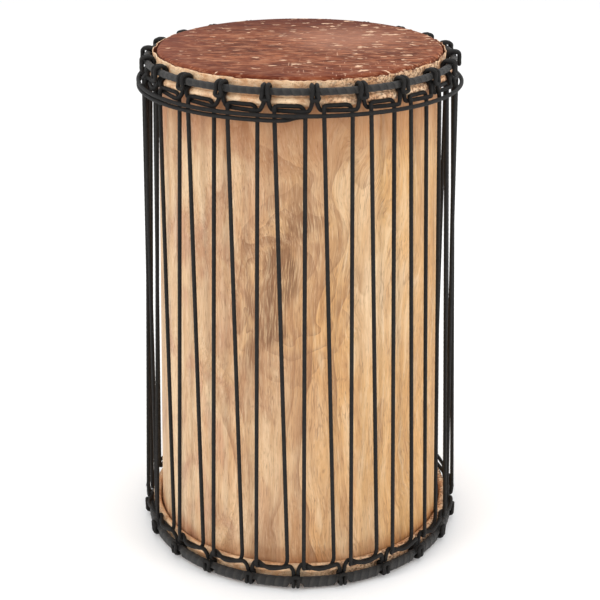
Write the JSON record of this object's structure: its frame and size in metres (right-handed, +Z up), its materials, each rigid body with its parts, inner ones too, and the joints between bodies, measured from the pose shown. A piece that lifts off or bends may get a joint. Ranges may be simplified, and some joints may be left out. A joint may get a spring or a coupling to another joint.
{
  "type": "dundun drum",
  "caption": "Cylinder drum with a head at each end: carved wooden shell, cowhide heads on steel hoops, laced end to end with braided rope.",
  "frame": {"origin": "centre of the lower head's flat face, on the ground", "axes": "+Z up along the drum's axis, -Y towards the drum's front"},
  "size_m": [0.4152, 0.4172, 0.632],
  "materials": {
    "shell_wood": "satin",
    "cowhide": "matte",
    "hoop_steel": "satin",
    "wrap_cloth": "matte",
    "rope": "matte"
  },
  "bodies": {
    "root": {"shell": "shell_wood", "top_hide": "cowhide", "bottom_hide": "cowhide", "top_flesh_ring": "hoop_steel", "bottom_flesh_ring": "hoop_steel", "top_crown_ring": "hoop_steel", "bottom_crown_ring": "hoop_steel", "top_crown_wrap": "wrap_cloth", "bottom_crown_wrap": "wrap_cloth", "top_loop_cord": "rope", "bottom_loop_cord": "rope", "lacing_rope": "rope"}
  },
  "joints": []
}
